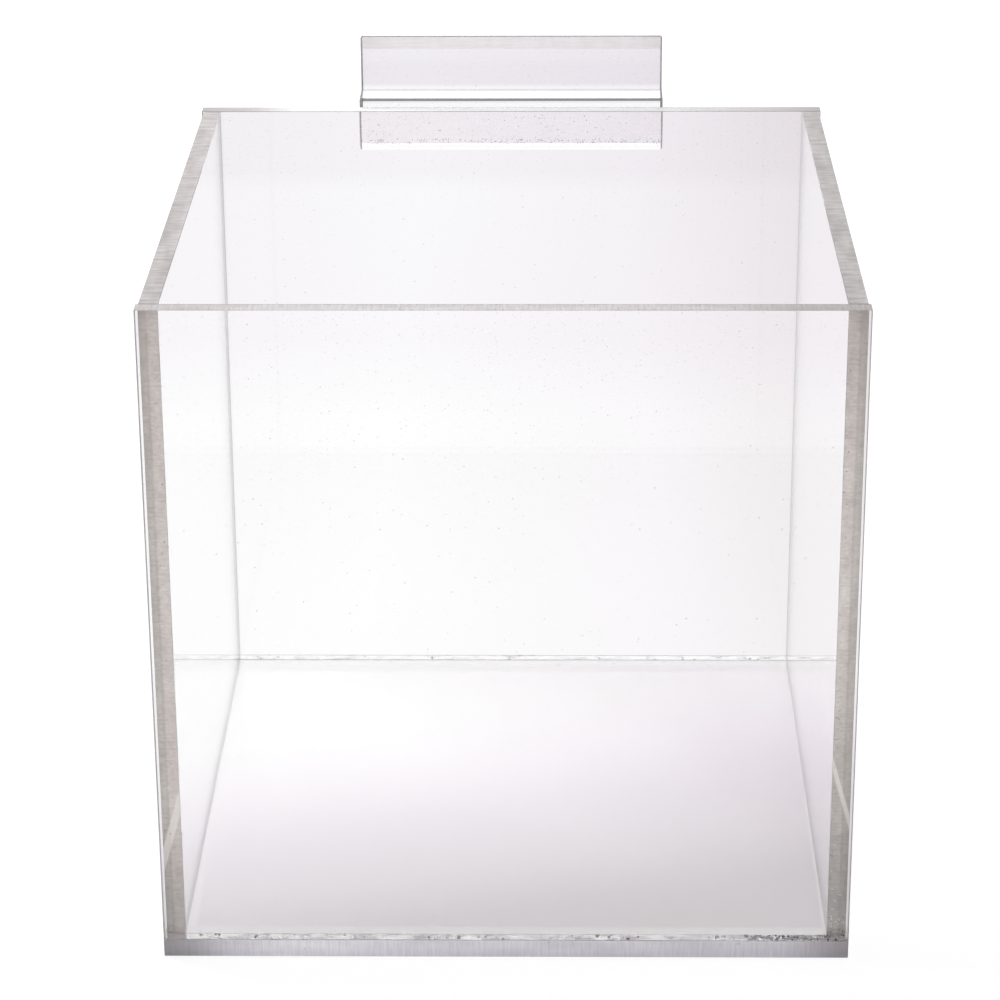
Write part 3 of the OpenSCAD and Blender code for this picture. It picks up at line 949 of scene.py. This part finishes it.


# White to the eye, with a soft shadow; through the bin, white with the painted shade above.
paper, tree, out = blank_material("stage_floor_paper")
path = add(tree, "ShaderNodeLightPath").outputs
direct, through = path["Is Camera Ray"], through_bin(tree, path)
seen = add(tree, "ShaderNodeMix", {0: direct, 6: floor_shade(tree), 7: WHITE}, data_type="RGBA").outputs[2]
place = add(tree, "ShaderNodeTexCoord").outputs["Object"]
away = add(tree, "ShaderNodeVectorMath", {0: place}, operation="LENGTH").outputs["Value"]
own = add(tree, "ShaderNodeMapRange", {
    "Value": away, "From Min": GLOW_FROM, "From Max": GLOW_FULL, "To Min": DIRECT_GLOW,
    "To Max": 1.0}).outputs[0]
strength = add(tree, "ShaderNodeMath", {0: direct, 1: own, 2: through}, operation="MULTIPLY_ADD").outputs[0]
glow = add(tree, "ShaderNodeEmission", {"Color": seen, "Strength": strength})
lit = add(tree, "ShaderNodeMath", {0: 1.0, 1: through}, operation="SUBTRACT").outputs[0]
lit = add(tree, "ShaderNodeMix", {0: direct, 2: lit, 3: DIRECT_PAPER}, data_type="FLOAT").outputs[0]
white = add(tree, "ShaderNodeVectorMath", {0: (1, 1, 1), "Scale": lit}, operation="SCALE").outputs["Vector"]
diffuse = add(tree, "ShaderNodeBsdfDiffuse", {"Color": white})
both = add(tree, "ShaderNodeAddShader", {0: glow.outputs[0], 1: diffuse.outputs[0]})
tree.links.new(both.outputs[0], out.inputs["Surface"])

bm = bmesh.new()
bmesh.ops.create_circle(bm, cap_ends=True, radius=FLOOR_RADIUS, segments=64)
bmesh.ops.translate(bm, verts=bm.verts[:], vec=(0, 0, -FLOOR_DROP_MM * MM))
floor_mesh = bpy.data.meshes.new("stage_floor")
bm.to_mesh(floor_mesh)
bm.free()
floor_mesh.materials.append(paper)
floor = bpy.data.objects.new("stage_floor", floor_mesh)
bpy.context.scene.collection.objects.link(floor)
print("floor radius", FLOOR_RADIUS, "m")

# %% [markdown]
# ## Room
# Seen directly the room is white. In the bin's sheets it is white too, but dark high up towards the back,
# so that the edges which bend the view up there turn grey and draw the outline. For the light that falls on
# the bin it is an even, plain grey, at which a colour renders about as it is written.

# %% Room
# A heading has a length of 1, and this much of it along Y counts as towards the back
BACKWARD_FULL = 0.15
world = bpy.data.worlds.new("studio_room")
bpy.context.scene.world = world
world.use_nodes = True
tree = world.node_tree
tree.nodes.clear()
out = add(tree, "ShaderNodeOutputWorld")
path = add(tree, "ShaderNodeLightPath").outputs
heading = add(tree, "ShaderNodeTexCoord").outputs["Generated"]
heading = add(tree, "ShaderNodeSeparateXYZ", {"Vector": heading}).outputs
backward = add(tree, "ShaderNodeMapRange", {
    "Value": heading["Y"], "From Min": 0.0, "From Max": BACKWARD_FULL}).outputs[0]
height = add(tree, "ShaderNodeMath", {0: heading["Z"], 1: backward}, operation="MULTIPLY").outputs[0]
room = add(tree, "ShaderNodeValToRGB", {"Fac": height}, [
    (0.5, "#FFFFFF"), (0.6, "#7C7C7E"), (0.9, "#8E8E90")])
lit = add(tree, "ShaderNodeMix", {0: through_bin(tree, path), 6: linear("#ACACAE"), 7: room.outputs["Color"]},
          data_type="RGBA").outputs[2]
seen = add(tree, "ShaderNodeMix", {0: path["Is Camera Ray"], 6: lit, 7: WHITE}, data_type="RGBA").outputs[2]
back = add(tree, "ShaderNodeBackground", {"Color": seen, "Strength": 1.0})
tree.links.new(back.outputs[0], out.inputs["Surface"])
print("made", world.name)

# %% [markdown]
# ## Lamps
# Four soft lamps: a key from the upper left behind the bin, a weak fill from the front, a low one from the
# right for the cut edges on that side, and a narrow one at the back. Only the back lamp shows in the
# sheets, as a thin bright line along the hook strip.

# %% Lamps
def soft_box(name, place, size, watts, mirrored=False):
    """A lamp that looks at the middle of the bin. Only a mirrored one shows in the sheets."""
    lamp = bpy.data.lights.new(name, "AREA")
    lamp.shape, lamp.energy = "RECTANGLE", watts
    lamp.size, lamp.size_y = size
    holder = bpy.data.objects.new(name, lamp)
    holder.location = place
    holder.rotation_mode = "QUATERNION"
    holder.rotation_quaternion = (Vector((0, 0, rim_z / 2)) - Vector(place)).to_track_quat("-Z", "Y")
    holder.visible_glossy = holder.visible_transmission = mirrored
    bpy.context.scene.collection.objects.link(holder)
    return holder


lamps = [
    soft_box("key_lamp", (-0.45, 0.35, 0.5), (0.5, 0.5), 4.0),
    soft_box("fill_lamp", (0.3, -1.2, 0.6), (0.8, 0.8), 6.0),
    soft_box("side_lamp", (1.0, 0.1, 0.15), (0.5, 0.4), 3.0),
    soft_box("back_lamp", (-0.05, 1.1, 0.42), (0.7, 0.09), 0.55, mirrored=True),
]
print("lamps:", [lamp.name for lamp in lamps])

# %% [markdown]
# ## Light through many faces
# A ray that enters the bin passes two faces for each sheet and runs on inside the edges, so it needs more
# bounces than the usual scene. The view transform is the plain one, which shows a colour as it is written.

# %% Bounces and view
scene = bpy.context.scene
scene.view_settings.view_transform = "Standard"
scene.cycles.max_bounces = 24
scene.cycles.transmission_bounces = 20
scene.cycles.glossy_bounces = 12
scene.cycles.transparent_max_bounces = 16
scene.cycles.blur_glossy = 0.0
print("bounces:", scene.cycles.max_bounces)
